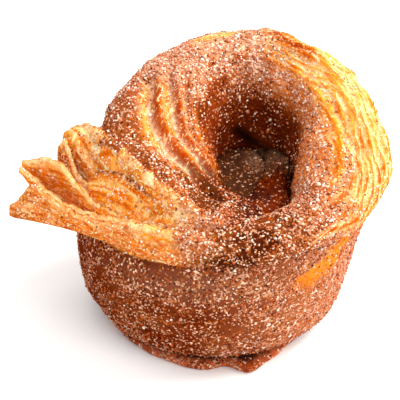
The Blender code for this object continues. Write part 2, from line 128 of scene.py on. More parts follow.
# how far the layers of the fanned end lie over the next turn: (angle, distance from its outer edge)
SEAM = [(526, 0.0), (536, 8.0), (547, 11.0), (554, 8.9), (560, 5.8), (567, 3.6), (575, 2.6), (582, 1.8),
        (591, 1.2), (602, 0.0)]

# gap between the wall of the hollow and its floor, cut in and painted near black as shade
CREVICE = [(6.2, 22.6, 49.3), (8.8, 23.9, 46.6), (11.1, 24.2, 44.4), (14.5, 22.5, 42.0), (20.0, 15.0, 43.0)]
CREVICE_REACH = 2.3

# ------------------------------------------------------------------ fanned end of the strip
FAN_X, FAN_Y = 4.0, 1.0
FAN_TURN = 226.0              # where its middle layer leaves the circle
# radius, angle where it leaves the circle, thickness at root and tip, bow of the straight part, and
# (length past the leaving point, lower edge, upper edge) from root to tip
FAN = [(44.0, 238.0, 3.0, 1.7, 0.0,
        [(-27, 41, 41.5), (-18, 41, 46.4), (-8, 41, 47.2), (10, 41, 46.8), (24, 40.8, 45.6),
         (35, 39.6, 47.8), (41, 38.6, 50.8), (46, 37.7, 46.0), (51, 36.8, 40.2)]),
       (42.9, 235.0, 2.6, 1.5, 0.3,
        [(-29, 41, 42.0), (-20, 41, 48.6), (-12, 41, 49.4), (5, 41, 48.4), (16, 41, 46.2),
         (24, 41, 45.3), (34, 42.5, 46.6), (39, 45, 49.0), (47, 51.0, 52.6)]),
       (41.6, 233.0, 2.6, 1.2, 2.2,
        [(-27, 41, 42.5), (-18, 41, 48.6), (-10, 41, 49.0), (8, 41, 46.8), (16, 41, 46.0),
         (23, 41, 48.2), (29, 41.2, 52.0), (35, 42.6, 56.2), (41, 45.6, 55.4), (47, 51.0, 52.9)]),
       (40.0, 223.0, 3.2, 1.6, 0.5,
        [(-34, 42, 43.0), (-24, 42, 48.8), (-12, 42, 48.6), (4, 41, 45.6), (14, 41, 45.4),
         (20, 41.5, 48.3), (25.5, 42.5, 51.0), (28.5, 44.5, 56.8), (30.5, 47.5, 60.2), (33, 51.5, 57.6)]),
       (37.7, 217.5, 3.6, 3.4, 0.0,
        [(-38, 42, 43.0), (-27, 42, 49.6), (-10, 42, 49.8), (-1.5, 42, 50.2), (9, 42, 51.2),
         (16.5, 42, 52.6), (24, 43.5, 55.8), (29, 46, 58.6), (31.3, 49, 59.4), (33.5, 52.5, 58.0)]),
       (35.6, 216.5, 3.4, 3.4, 0.0,
        [(-42, 42, 43.0), (-31, 42, 50.6), (-14.5, 42, 51.6), (-5, 42, 52.4), (5, 42, 54.0),
         (16, 43, 56.4), (24.5, 45, 58.2), (30.6, 48, 59.2), (34.2, 51.5, 57.6)]),
       (33.6, 215.5, 3.2, 3.2, 0.0,
        [(-44, 42, 45.0), (-27, 42, 50.9), (-20, 42, 54.6), (-15.5, 42, 56.3), (-9, 42, 58.0),
         (-2, 42, 59.8), (7, 43, 60.6), (17, 44, 61.2), (24.7, 46, 60.9), (29.7, 48, 59.4),
         (34, 51.5, 57.6)])]
FAN_SLANT = 0.5
FAN_BURIED = 1.6
# of each layer: paleness of its edge, colour of its outer and inner face from deep 0 to orange 1, the deep
# end painted shade of the pockets between layers, sugar
FAN_LOOKS = [(0.30, 0.50, 0.35, 0.28), (1.0, 0.70, 0.22, 0.10), (0.9, 0.50, 0.18, 0.06),
             (0.9, 0.30, 0.12, 0.50), (0.9, 0.50, 0.25, 0.20), (0.9, 0.75, 0.45, 0.22),
             (0.7, 0.80, 0.35, 0.40)]

# how much of each layer's face is torn to paler dough
FAN_TORN = [0.15, 0.15, 0.15, 0.60, 0.95, 1.00, 0.90]

# ------------------------------------------------------------------ mesh density
STATIONS = 264
ACROSS = 156
OUTER_SHARE = 10 / 28
WALL_ROWS = 36
FLOOR_ROWS = 12
UNDER_ROWS = 4
FAN_STATIONS = 84
FAN_LEVELS = 9

# ------------------------------------------------------------------ colours, linear
BROWN = np.array([0.200, 0.024, 0.0035])
TOP_CRUST = np.array([0.37, 0.080, 0.018])
ORANGE = np.array([0.97, 0.285, 0.014])
YELLOW = np.array([0.98, 0.56, 0.07])
CREAM = np.array([0.98, 0.88, 0.62])
# deep orange-brown, laid on as painted shade in grooves, recesses and the pockets between layers
DEEP = np.array([0.46, 0.075, 0.004])
AMBER = np.array([0.97, 0.40, 0.025])
# near black, laid on as painted shade in creases, gaps, under the front rim and under the brow, and in
# patches on the floor lump
DARK = np.array([0.030, 0.008, 0.004])
FLOOR_LUMP = np.array([0.100, 0.031, 0.013])
PINK_CRUST = np.array([0.50, 0.165, 0.070])
ROOT_CRUST = TOP_CRUST * [1.1, 1.2, 1.6]
# painted highlight on the top edge of the lump in the hollow
LUMP_HIGHLIGHT = np.array([0.28, 0.140, 0.075])


def keyed(keys, at, period=None):
    """Smooth curve through rows of (angle, values...), read at the angles given."""
    k = np.array(keys, float)
    if period:
        head, tail = k[-2:].copy(), k[:2].copy()
        head[:, 0] -= period
        tail[:, 0] += period
        k = np.vstack([head, k, tail])
    a, v = k[:, 0], k[:, 1:]
    at = np.asarray(at, float)
    chord = (v[1:] - v[:-1]) / (a[1:] - a[:-1])[:, None]
    slope = np.zeros_like(v)
    slope[1:-1] = (chord[1:] + chord[:-1]) / 2
    flat = chord[1:] * chord[:-1] <= 0
    slope[1:-1][flat] *= 0.3
    i = np.clip(np.searchsorted(a, at, side="right") - 1, 0, len(a) - 2)
    h = (a[i + 1] - a[i])[:, None]
    t = np.clip((at - a[i])[:, None] / h, 0, 1)
    return ((2 * t**3 - 3 * t**2 + 1) * v[i] + (t**3 - 2 * t**2 + t) * h * slope[i]
            + (3 * t**2 - 2 * t**3) * v[i + 1] + (t**3 - t**2) * h * slope[i + 1])


def step(lo, hi, x):
    """Smooth step from 0 at lo to 1 at hi; lo may be the larger."""
    t = np.clip((np.asarray(x, float) - lo) / (hi - lo), 0, 1)
    return t * t * (3 - 2 * t)


def span(x, start, full, fade, end):
    """1 from full to fade, and smoothly down to 0 at start and end."""
    return step(start, full, x) * step(end, fade, x)


def mix(a, b, t):
    return a + (b - a) * t


def over(base, colour, there):
    """A colour laid over a base as strongly as a mask says."""
    return mix(base, colour, there[..., None])


def bell(x, half):
    """1 at 0, and down to 0.37 at half."""
    return np.exp(-(x / half)**2)


def noise(p, size, seed):
    """Smooth noise from -1 to 1 with bumps of a size in mm, at points in mm."""
    q = np.asarray(p, float) / size + seed * 17.31
    i = np.floor(q).astype(np.int64)
    f = q - i
    f = f * f * (3 - 2 * f)
    total = 0
    for dx in (0, 1):
        for dy in (0, 1):
            for dz in (0, 1):
                h = (i[..., 0] + dx) * 374761393 + (i[..., 1] + dy) * 668265263
                h = h + (i[..., 2] + dz) * 1274126177
                h = (h ^ (h >> 13)) * 1103515245
                h = ((h ^ (h >> 16)) & 0xFFFF) / 32767.5 - 1
                wx = f[..., 0] if dx else 1 - f[..., 0]
                wy = f[..., 1] if dy else 1 - f[..., 1]
                wz = f[..., 2] if dz else 1 - f[..., 2]
                total = total + h * wx * wy * wz
    return total


def spline(ctrl, places, knot=None, split=None):
    """Clamped cubic B-spline through stations x points x (radius, height, share), even along its length.

    With a knot, the places up to split are even up to that control point and the rest even beyond it."""
    c = np.concatenate([ctrl[:, :1]] * 2 + [ctrl] + [ctrl[:, -1:]] * 2, axis=1)
    spans = c.shape[1] - 3
    t = np.linspace(0, spans, 16 * spans + 1)
    i = np.minimum(t.astype(int), spans - 1)
    u = (t - i)[None, :, None]
    fine = ((1 - u)**3 * c[:, i] + (3 * u**3 - 6 * u**2 + 4) * c[:, i + 1]
            + (3 * u + 3 * u**2 + 1 - 3 * u**3) * c[:, i + 2] + u**3 * c[:, i + 3]) / 6
    run = np.cumsum(np.hypot(np.diff(fine[..., 0]), np.diff(fine[..., 1])) + 1e-9, axis=1)
    run = np.concatenate([np.zeros((len(run), 1)), run], axis=1)
    if knot is None:
        run = run / run[:, -1:]
    else:
        turn = run[:, 16 * (knot + 1)][:, None]
        beyond = (run - turn) / (run[:, -1:] - turn)
        run = np.where(run < turn, split * run / turn, split + (1 - split) * beyond)
    return np.stack([np.stack([np.interp(places, r, row[:, k]) for k in range(3)], -1)
                     for r, row in zip(run, fine)])


def edges(a):
    """Outer and inner edge of the strip as (radius, height, share of offset) at angles along it."""
    brow = keyed(BROW, np.mod(a, 360), 360)
    here = np.column_stack([keyed(INNER, a), np.ones(len(a))])
    before = np.column_stack([keyed(INNER, a - 360), np.ones(len(a))])
    here[:, 2] = mix(0.6, 1.0, step(185, 260, a))
    before[:, 2] = mix(0.6, 1.0, step(185, 260, a - 360))
    first = (a < STRIP_START + 360)[:, None]
    return np.where(first, brow, before), here


def strip_section(a, places):
    """Points across the strip at angles along it: stations x points x (radius, height, share)."""
    out, inn = edges(a)
    crest, where, bulge, outer, inner = keyed(CREST, a).T
    ro, zo, so = out.T
    ri, zi, si = inn.T
    width = np.hypot(ro - ri, zo - zi)
    full = step(0, 9, width)
    low = np.maximum(zo, zi)
    zc = low + np.maximum(crest - low, 0) * full
    bulge = bulge * full
    rc = mix(ro, ri, where)
    top = zc + 0.8 * full * outer
    rows = [(ro, zo, so),
            (ro + bulge, mix(zo, zc, mix(0.10, 0.16, outer)), mix(so, si, 0.3)),
            (ro + bulge * 1.3, mix(zo, zc, mix(0.23, 0.48, outer)), mix(so, si, 0.65)),
            (mix(ro + bulge, rc, 0.22), mix(zo, zc, mix(0.36, 0.84, outer)), mix(so, si, 0.9)),
            (mix(ro + bulge, rc, 0.60), mix(zo, zc, mix(0.64, 1.0, outer)), si),
            (rc, top, si),
            (mix(rc, ri, 0.40), mix(zi, zc, mix(0.74, 0.97, inner)), si),
            (mix(rc, ri, 0.74), mix(zi, zc, mix(0.42, 0.80, inner)), si),
            (mix(rc, ri, 0.93), mix(zi, zc, mix(0.16, 0.48, inner)), si),
            (mix(rc, ri, 1.00), mix(zi, zc, mix(0.04, 0.16, inner)), si),
            (ri, zi, si)]
    ctrl = np.stack([np.stack([v + 0 * ro for v in row], -1) for row in rows], 1)
    return spline(ctrl, places, 5, OUTER_SHARE)


def wall_section(a, places):
    """Points up the body from the crease to the brow."""
    rb, zb, sb = keyed(BROW, np.mod(a, 360), 360).T
    n = 0 * rb
    top_r = BODY[-1][1]
    rows = [(CREASE_RADIUS + n, FOOT_HEIGHT + 0.5 + n, n)]
    rows += [(r + n, z + n, n) for z, r in BODY]
    rows += [(mix(top_r, rb, 0.45) + 1.1, mix(BODY[-1][0], zb, 0.40), sb * 0.25),
             (mix(top_r, rb, 0.85) + 0.9, mix(BODY[-1][0], zb, 0.75), sb * 0.62),
             (rb, mix(BODY[-1][0], zb, 0.93), sb * 0.92),
             (rb, zb, sb)]
    ctrl = np.stack([np.stack(row, -1) for row in rows], 1)
    return spline(ctrl, places)


def foot_section(a):
    """Underside edge, rings of the foot and its top, below the crease."""
    r = keyed(FOOT, np.mod(a, 360), 360)[:, 0] + 0.15 * np.sin(np.radians(a) * 23)
    n = 0 * r
    rows = [(r - 0.9, n, n), (r - 0.25, 0.25 + n, n), (r, 0.7 + n, n), (r + 0.1, 1.2 + n, n),
            (r - 0.1, FOOT_HEIGHT * 0.7 + n, n), (mix(FOOT[0][1], r, 0.75) - 0.5, FOOT_HEIGHT * 0.92 + n, n),
            (mix(FOOT[0][1], r, 0.5) - CREASE_DEPTH, FOOT_HEIGHT + n, n)]
    return np.stack([np.stack(row, -1) for row in rows], 1)


def place(section, a):
    """(radius, height, share) at plan angles to x, y, z."""
    c, s = np.cos(np.radians(a))[:, None], np.sin(np.radians(a))[:, None]
    r, z, share = section[..., 0], section[..., 1], section[..., 2]
    return np.stack([COIL_X * share + r * c, COIL_Y * share + r * s, z], -1)


def along(keys, a, d, ends=14):
    """Distance of points from a line drawn along the strip, and how strongly the line is there."""
    middle = keyed(keys, a[:, 0])
    middle = middle + 0.25 * np.sin(np.radians(a) * 11 + len(keys)) + 0.08 * np.sin(np.radians(a) * 29)
    there = step(keys[0][0], keys[0][0] + ends, a) * step(keys[-1][0], keys[-1][0] - ends, a)
    return d - middle, there


def layers_at(p, pitch, seed):
    """Wave, from -1 to 1, of the layers that run into the fanned end, at points in mm."""
    v = p[..., :2] - np.array([FAN_X, FAN_Y])
    t = np.radians(FAN_TURN)
    beyond = v @ np.array([np.sin(t), -np.cos(t)])
    q = np.where(beyond > 0, v @ np.array([np.cos(t), np.sin(t)]), np.hypot(v[..., 0], v[..., 1]))
    return np.cos(2 * np.pi * (q / pitch + 0.35 * noise(p, 8.0, seed) + 0.12 * p[..., 2]))


def fan_waves(p):
    """Coarse and fine wave of the layers that run into the fanned end, at points in mm."""
    return layers_at(p, 2.5, 21) * 0.7 + layers_at(p, 1.15, 22) * 0.4


def fan_cover(a, out):
    """Where the fanned layers lie over the next turn, and the seam beyond them."""
    reach = keyed(SEAM, a[:, 0])
    there = step(0.3, 1.2, reach)
    return there * step(-0.3, 0.5, reach - out), there * bell(out - reach - 1.2, 1.2)


def recess_at(a, inn):
    """Torn recess at the back right."""
    d, there = along(RECESS, a, inn, 6)
    return there * bell(d, 1.8)


class Relief:
    """Height in mm over the strip, and how pale, deep (in grooves, where painted shade is laid on), orange
    and bare it is there, from 0 to 1.
    """

    def __init__(self, height):
        self.height = height
        self.pale = 0 * height
        self.deep = 0 * height
        self.orange = 0 * height
        self.bare = 0 * height

    def mark(self, **places):
        for name, there in places.items():
            setattr(self, name, np.maximum(getattr(self, name), there))

    def clip(self):
        for name in ("pale", "deep", "orange", "bare"):
            setattr(self, name, np.clip(getattr(self, name), 0, 1))


def torn_steps(relief, a, inn, p):
    """Long steps of torn layers on the left inner slope."""
    torn = 0.55 + 0.45 * noise(p, 5.0, 3)
    broken = 0.85 + 0.45 * noise(p, 2.0, 4)
    wide = step(525, 560, a)
    for high, gentle, steep, dip, gap, glow, keys in STEPS:
        d, there = along(keys, a, inn)
        ridge = np.where(d > 0, bell(d, gentle), bell(d, steep))
        groove = bell(d + steep + gap, gap)
        relief.height = relief.height + there * (high * ridge * (0.8 + 0.3 * torn) - dip * groove)
        strong = there * min(high / 2.2, 1) * step(504, 518, a) * step(592, 568, a)
        face = bell(d - gentle * mix(0.5, 1.0, wide), gentle * mix(0.5, 0.8, wide))
        relief.mark(pale=strong * np.maximum(bell(d - 0.2, 1.1), glow * bell(d - 3.2, 1.7)) * broken,
                    deep=strong * bell(d + steep + gap * 0.6, gap) * 0.85,
                    orange=strong * face * step(-0.45, 0.1, torn - 0.3),
                    bare=strong * bell(d, gentle * 1.1) * 0.75)
        relief.mark(orange=strong * bell(d + steep + 2.6 * gap, gap * 1.4) * 0.9)


def right_grooves(relief, a, inn, p):
    """Grooves between the layers of the right half."""
    broken = step(-0.5, 0.2, noise(p, 6.0, 7) + 0.25)
    for depth, half, dark, keys in GROOVES:
        d, there = along(keys, a, inn)
        relief.height = relief.height - there * depth * bell(d, half) * broken
        relief.mark(pale=there * bell(np.abs(d) - half * 2.2, half) * 0.7,
                    deep=there * dark * bell(d, half * 0.8) * broken,
                    orange=there * bell(d, half * 1.7) * broken,
                    bare=there * bell(d, half * 2.0))


def right_layers(relief, a, out, inn, p):
    """Fine layers of the outer right half."""
    zone = span(a, 300, 335, 415, 446) * step(29, 34, inn) * step(1.0, 4.0, out)
    phase = inn / LAYER_PITCH + 0.85 * noise(p, 10.0, 11) + 0.30 * noise(p, 4.0, 13) + a / 90
    wave = np.cos(2 * np.pi * phase)
    uneven = 0.45 + 0.55 * noise(p * [1, 1, 0.6], 4.0, 12)
    tear = noise(p, 2.2, 14)
    relief.height = relief.height + LAYER_DEPTH * zone * (wave * (0.4 + uneven) + 0.5 * tear)
    relief.pale = relief.pale * mix(1, 0.3, span(a, 318, 335, 430, 450) * step(38, 33, inn))
    relief.mark(pale=zone * step(-0.10, 0.50, wave + 0.8 * tear) * (0.75 + 0.35 * uneven),
                deep=zone * step(-0.30, -0.85, wave + 0.4 * tear) * (0.55 + 0.5 * uneven),
                orange=zone * (0.80 + 0.20 * uneven),
                bare=zone * 0.55)


def fan_layers(relief, a, out, inn, p):
    """Layers that run on from the fanned end, those that lie over the next turn, and the seam along them."""
    wave = fan_waves(p)
    torn = 0.5 + 0.6 * noise(p, 3.5, 23)
    between = step(-0.35, -0.9, wave)
    zone = step(186, 191, a) * step(263 + 6 * noise(p, 3.0, 24), 244, a)
    zone = zone * step(1.5, 4.0, out) * step(0.5, 3.5, inn)
    zone = zone * mix(1, step(17, 12, out), step(236, 250, a))
    relief.height = relief.height + 0.42 * zone * wave
    relief.mark(pale=zone * step(-0.1, 0.7, wave) * np.clip(torn + 0.25, 0, 1),
                deep=zone * between * 0.55,
                orange=zone * 0.9,
                bare=zone * 0.72)
    cover, seam = fan_cover(a, out)
    relief.height = relief.height + cover * (0.45 + 0.40 * wave)
    relief.mark(pale=cover * step(-0.2, 0.6, wave) * np.clip(torn + 0.35, 0, 1),
                deep=cover * between * 0.55,
                orange=cover * 0.9,
                bare=cover * 0.72)
    # the seam cut in, and marked deep for its painted shade
    relief.height = relief.height - 0.5 * seam
    relief.mark(deep=seam * 0.35)


def lone_places(relief, a, out, inn, p):
    """Bare rim at the front left, flake at the back edge, lip over the hollow and torn recess."""
    rim = span(a, 200, 215, 242, 262) * step(4.6, 2.6, out)
    relief.mark(orange=rim * 0.95, bare=rim * 0.8)
    flake = span(a, 446, 456, 470, 478) * bell(inn - 43.0, 3.0)
    relief.height = relief.height + 0.8 * flake
    relief.mark(pale=flake * 0.25, orange=flake, bare=flake * 0.9)
    lip = span(a, *LIP_SPAN)
    relief.height = relief.height + lip * (0.8 * bell(inn - 27.5, 1.4) - 0.8 * bell(inn - 23.5, 2.0))
    recess = recess_at(a, inn) * step(-0.9, -0.2, noise(p, 3.0, 26))
    relief.height = relief.height - 1.4 * recess
    relief.pale = relief.pale * (1 - recess)
    relief.mark(deep=recess, bare=recess)


def strip_relief(a, u, out, inn, p):
    """Relief at angles along the strip, shares across it, distances in mm from its edges, and points."""
    t = np.radians(a)
    lumps = (0.5 * np.sin(t * 5 + u * 9) + 0.35 * np.sin(t * 11 - u * 17 + 1.3)
             + 0.25 * np.sin(t * 19 + u * 31 + 4.0))
    relief = Relief(LUMP * lumps * mix(0.3, 1.0, step(240, 290, a)))
    torn_steps(relief, a, inn, p)
    right_grooves(relief, a, inn, p)
    right_layers(relief, a, out, inn, p)
    fan_layers(relief, a, out, inn, p)
    lone_places(relief, a, out, inn, p)
    rings = np.cos(2 * np.pi * (inn / 1.7 + 0.8 * noise(p, 15.0, 25)))
    relief.height = relief.height + 0.10 * rings * step(255, 290, a)
    relief.clip()
    return relief


def crust_noise(p):
    """Fine roughness in mm of all the crust."""
    return 0.22 * noise(p, 3.2, 1) + 0.15 * noise(p, 1.5, 2)


def raise_by(points, height):
    """Move a grid of points along its own normals."""
    n = np.cross(np.gradient(points, axis=0), np.gradient(points, axis=1))
    size = np.linalg.norm(n, axis=-1, keepdims=True)
    n = np.where(size > 1e-9, n / np.maximum(size, 1e-9), 0)
    return points - n * height[..., None]


def hollow_depth(a, inn, p):
    """How deep in the hollow, from 0 on the coil to 1: where the crust gets its painted shade and less sugar.
    """
    crest = keyed(CREST, a[:, 0])[:, :1]
    below = crest - p[..., 2]
    walls = step(5, 18, below) * step(330, 380, a) * step(640, 600, a) * step(28, 20, inn)
    lip = step(3.0, 8.0, below) * step(452, 468, a) * step(528, 512, a) * step(28, 24, inn)
    return np.maximum(np.maximum(walls, 0.85 * lip), step(600, 640, a))


def lump_lit(p):
    """Where the painted highlight lies on the top edge of the lump of dough on the floor of the hollow."""
    x, y = p[..., 0], p[..., 1]
    return step(9, 15, y) * step(7, 13, x) * np.clip(0.7 + 0.8 * noise(p, 2.5, 52), 0, 1)


def crevice(p):
    """Nearness to the gap between the wall of the hollow and its floor, which is painted near black as shade.
    """
    line = np.array(CREVICE, float)
    near = np.full(p.shape[:-1], 1e9)
    for start, end in zip(line[:-1], line[1:]):
        side = end - start
        t = np.clip((p - start) @ side / (side @ side), 0, 1)
        near = np.minimum(near, np.linalg.norm(p - start - t[..., None] * side, axis=-1))
    return bell(near, CREVICE_REACH)


def shaded_left_slope(a, inn):
    """Inner left slope of the coil, painted darker as shade, and less sugared."""
    return span(a, 552, 570, 605, 625) * step(32, 26, inn)


def strip_tint(a, out, inn, p, relief):
    """Colour of the strip."""
    low = hollow_depth(a, inn, p)
    base = over(BROWN * 1.15, TOP_CRUST, np.clip(step(6, 22, inn), 0.25, 1))
    base = over(base, TOP_CRUST * [1.15, 1.25, 1.3], span(a, 300, 350, 420, 470) * 0.7)
    # painted shade: the crust darker the deeper it lies in the hollow
    base = over(base, BROWN * [0.62, 0.55, 0.35], low * 0.95)

    # painted shade under the front rim, and the lump of dough on the floor of the hollow, with a painted
    # highlight on its top edge and near-black patches at random
    dim = span(a, 598, 612, 670, 720) * step(-0.4, 0.4, noise(p, 4.0, 36) + 0.3)
    base = over(base, DARK * [1.6, 1.4, 2.0], dim * 0.75)
    lump = over(over(FLOOR_LUMP, LUMP_HIGHLIGHT, lump_lit(p)), DARK, step(0.2, 0.7, noise(p, 3.0, 37)))
    base = over(base, lump, step(725, 750, a))

    # burnt patches of the front, the sugared back, the sugared right inner slope painted brighter and warmer
    # as bounced light, and a painted highlight on the lip
    front = span(a, *FRONT_SPAN)
    burnt = step(0.4, -0.4, noise(p, 6.0, 34) + 0.5 * noise(p, 2.0, 35))
    base = over(base, BROWN * [0.42, 0.50, 1.2], front * burnt * 0.9)
    behind = span(a, 425, 450, 495, 520) * step(30, 36, inn)
    base = over(base, PINK_CRUST * [1.5, 1.95, 2.7], behind * 0.85)
    # painted warm bounced light on the inner slope of the right half
    base = over(base, PINK_CRUST * [1.6, 1.25, 0.45], span(a, *SLOPE_SPAN) * (1 - low) * 0.85)
    # painted highlight on the lit lip
    lip = span(a, *LIP_SPAN) * bell(inn - 28.0, 1.3)
    base = over(base, PINK_CRUST * [1.3, 1.7, 2.2], lip * 0.8)

    # darker front and left, painted shade on the inner left slope, and unevenness all over
    left = span(a, *LEFT_SPAN) * step(30, 36, inn)
    base = base * (1 - 0.45 * front - 0.60 * shaded_left_slope(a, inn) - 0.35 * left)[..., None]
    base = base * (1 + 0.22 * noise(p, 7.0, 31) + 0.18 * noise(p, 2.6, 32))[..., None]

    # layers
    right = span(a, 330, 365, 410, 440)
    base = over(base, over(ORANGE, AMBER, right), relief.orange)
    white = np.maximum(right * 0.3, span(a, 490, 510, 580, 600) * step(10, 14, out))
    # a shaded copy of the pale layers' colour: yellower where they lie in shade
    shaded = np.maximum(step(262, 250, a), step(515, 530, a) * step(14, 10, out))
    light = over(over(YELLOW, CREAM, mix(0.45, 0.15, shaded)), CREAM, white)
    base = over(base, light, relief.pale * (0.75 + 0.25 * noise(p, 2.0, 33)))
    # painted shade: grooves and gaps between layers deep orange-brown, and the torn recess darker
    base = over(base, over(DEEP, ORANGE * [1.0, 0.85, 0.8], right * 0.8), relief.deep)
    base = over(base, DEEP * [0.8, 0.7, 0.7], recess_at(a, inn) * 0.8)

    # painted shade: near black along the seam where the strip meets the turn before
    seam_shade = bell(np.minimum(out, inn), 0.9) * step(255, 275, a) * (1 - fan_cover(a, out)[0])
    # painted shade: near black in the gap at the floor of the hollow
    base = over(base, DARK * 0.5, crevice(p))
    return over(base, DARK, seam_shade * 0.85)


def strip_sugar(a, inn, p, relief):
    """Sugar on the strip, from 0 to 2."""
    low = hollow_depth(a, inn, p)
    sugar = np.clip(1.0 - 0.9 * relief.bare - 0.6 * relief.deep, 0, 1) * (0.85 + 0.25 * noise(p, 6.0, 41))
    sugar = sugar * (1 - 0.7 * shaded_left_slope(a, inn))
    sugar = sugar * (1 - 0.50 * span(a, *FRONT_SPAN)) * (1 - 0.5 * span(a, *LEFT_SPAN) * step(30, 38, inn))
    rich = 0.8 * span(a, 420, 445, 480, 510) + 0.15 * span(a, *SLOPE_SPAN)
    sugar = sugar * (1 + rich * (1 - low) * (1 - relief.bare))
    return np.clip(sugar * mix(1, 0.20, low) * (1 - crevice(p)), 0, 2)


def looks_of(tint, sugar, across, lengthways, flaky):
    """Colour, sugar, place in mm across and along the streaks, and flakiness, as one array."""
    return np.concatenate([tint, np.stack(np.broadcast_arrays(sugar, across, lengthways, flaky), -1)], -1)


def strip_surface(a, places, stations):
    """Points over the strip, raised by its relief, and their looks."""
    grid = place(strip_section(a, places), a)
    width = np.linalg.norm(grid[:, 0] - grid[:, -1], axis=-1)
    out = np.cumsum(np.linalg.norm(np.diff(grid, axis=1), axis=-1), axis=1)
    out = np.concatenate([0 * out[:, :1], out], axis=1)
    inn = out[:, -1:] - out
    at = a[:, None] + 0 * out
    relief = strip_relief(at, places[None, :], out, inn, grid)

    order, last = np.arange(len(a)), len(a) - 1
    ends = 12 * stations / 340
    fade = np.minimum(step(0, ends, order), step(last, last - 2 * ends, order))
    high = relief.height + crust_noise(grid)
    high *= (fade * step(3, 12, width))[:, None] * step(0.3, 4.0, np.minimum(out, inn))
    high = high - crevice(grid)

    looks = looks_of(strip_tint(at, out, inn, grid, relief), strip_sugar(at, inn, grid, relief), inn,
                     np.radians(at) * 30, np.clip(0.25 + relief.bare, 0, 1))
    return raise_by(grid, high), looks


def floor_rings(rim, rows):
    """Rings of the floor of the hollow inside its rim, and its middle."""
    middle = np.array([COIL_X, COIL_Y, rim[:, 2].min() + FLOOR_RISE])
    rings = []
    for k in range(1, rows):
        t = k / rows
        ring = rim + (middle - rim) * t
        ring[:, 2] = mix(rim[:, 2], middle[2], np.sin(t * np.pi / 2))
        ring[:, 2] += 0.35 * noise(ring, 3.0, 51) * step(0, 0.2, t)
        rings.append(ring)
    return rings, middle


def floor_looks(p):
    # the lump with a painted highlight on its top edge, and a little more sugar there
    lit = lump_lit(p)
    return looks_of(over(FLOOR_LUMP * 0.8, LUMP_HIGHLIGHT, lit), 0.20 + 0.15 * lit, 0, 0, 0.1)


def foot_surface(phi):
    """Points of the foot, from the edge of the underside to the crease, and their looks."""
    foot = place(foot_section(phi), phi)
    brown = step(-0.5, 0.5, noise(foot, 5.0, 61))
    tint = over(TOP_CRUST * [1.3, 1.3, 2.2], BROWN * [1.5, 2.0, 4.0], brown)
    tint = tint * (1 + 0.5 * noise(foot, 1.6, 62))[..., None]
    # painted shade: near black on the top row of the foot, in the crease
    tint[:, -1:] = DARK
    sugar = np.full(foot.shape[:2], 0.45)
    sugar[:, -1:] = 0
    return foot, looks_of(tint, sugar, foot[..., 2], np.radians(phi)[:, None] * 40, 0.25)


def wall_surface(phi, rows):
    """Points of the body's side, from the crease to the brow, and their looks."""
    up = np.linspace(0, 1, rows + 1)
    wall = place(wall_section(phi, up), phi)
    turn = np.radians(phi)[:, None]
    uneven = LUMP * (0.6 * np.sin(3 * turn + 5 * up) + 0.4 * np.sin(7 * turn - 8 * up + 2))
    uneven = uneven * step(0, 0.15, up) * step(1, 0.9, up)
    uneven = uneven + crust_noise(wall) * step(0, 0.1, up) * step(1, 0.95, up)
    tint, sugar = wall_look(phi[:, None] + 0 * up, up[None, :] + 0 * turn, wall)
    wall = raise_by(wall, uneven)
    return wall, looks_of(tint, sugar, wall[..., 2], turn * 40, 0.15)


class Skin:
    """Points, their looks, and faces of one closed skin."""

    def __init__(self):
        self.points = []
        self.looks = []
        self.faces = []

    def add(self, point, look):
        self.points.append(point)
        self.looks.append(look)
        return len(self.points) - 1

    def add_row(self, points, looks):
        return [self.add(point, look) for point, look in zip(points, looks)]

    def sew(self, rows, closed):
        """Faces between rows of point numbers, with corners that are the same point kept once."""
        n = len(rows[0])
        for low, high in zip(rows[:-1], rows[1:]):
            for i in range(n if closed else n - 1):
                k = (i + 1) % n
                loop = []
                for v in (low[i], low[k], high[k], high[i]):
                    if v not in loop:
                        loop.append(v)
                if len(loop) > 2:
                    self.faces.append(loop)


def coil_mesh(stations, columns, wall_rows, floor_rows, under_rows):
    """Body and coil as one closed skin: points, faces and looks."""
    skin = Skin()
    pitch = 360.0 / stations
    total = int(round((STRIP_END - STRIP_START) / pitch))
    a = STRIP_START + pitch * np.arange(total + 1)
    grid, looks = strip_surface(a, np.linspace(0, 1, columns + 1), stations)

    # the strip's outer edge lies on its inner edge of a turn before, and its start is a point
    idx = np.zeros((total + 1, columns + 1), int)
    for i in range(total + 1):
        for j in range(columns + 1):
            if j == 0 and i >= stations:
                idx[i, j] = idx[i - stations, columns]
            elif i == 0 and j:
                idx[i, j] = idx[0, 0]
            elif i < total:
                idx[i, j] = skin.add(grid[i, j], looks[i, j])
    idx[total, :] = idx[total - stations, columns]
    skin.sew([idx[:, j].tolist() for j in range(columns + 1)], closed=False)

    last = [idx[i, columns] for i in range(total - stations, total)]
    rings, middle = floor_rings(np.array([skin.points[i] for i in last]), floor_rows)
    floor = [last] + [skin.add_row(ring, floor_looks(ring)) for ring in rings]
    pole = skin.add(middle, floor_looks(middle[None])[0])
    skin.sew(floor + [[pole] * stations], closed=True)

    phi = a[:stations]
    foot, foot_looks = foot_surface(phi)
    wall, wall_looks = wall_surface(phi, wall_rows)
    body = [skin.add_row(foot[:, k], foot_looks[:, k]) for k in range(foot.shape[1])]
    body += [skin.add_row(wall[:, k], wall_looks[:, k]) for k in range(wall_rows)]
    body.append(idx[:stations, 0].tolist())
    plain = np.append(BROWN * 1.2, [0.0, 0, 0, 0.1])
    under = [[skin.add(np.zeros(3), plain)] * stations]
    under += [[skin.add(p, plain) for p in foot[:, 0] * (k / under_rows)] for k in range(1, under_rows)]
    skin.sew(under + body, closed=True)
    return np.array(skin.points), skin.faces, np.array(skin.looks)


